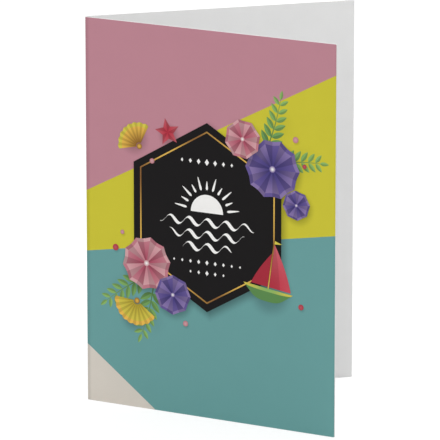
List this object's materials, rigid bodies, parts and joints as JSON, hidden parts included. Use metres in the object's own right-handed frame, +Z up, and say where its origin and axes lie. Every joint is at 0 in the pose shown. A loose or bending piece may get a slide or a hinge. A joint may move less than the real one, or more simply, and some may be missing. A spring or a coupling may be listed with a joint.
{
  "type": "greeting card",
  "caption": "Portrait greeting card of stiff white card stock, folded once down the middle and standing half open on its lower edge, with a printed front panel.",
  "frame": {"origin": "centre of the bounding box at the lower cut edge, which is what the card stands on", "axes": "+Z up along the fold, +X from the fold towards the free edges, so the card opens towards +X, with the printed front panel on the -Y side and the back panel on the +Y side"},
  "size_m": [0.1168, 0.1004, 0.1778],
  "materials": {
    "card_stock": "matte",
    "cover_print": "satin"
  },
  "bodies": {
    "root": {"card": "card_stock"}
  },
  "joints": []
}
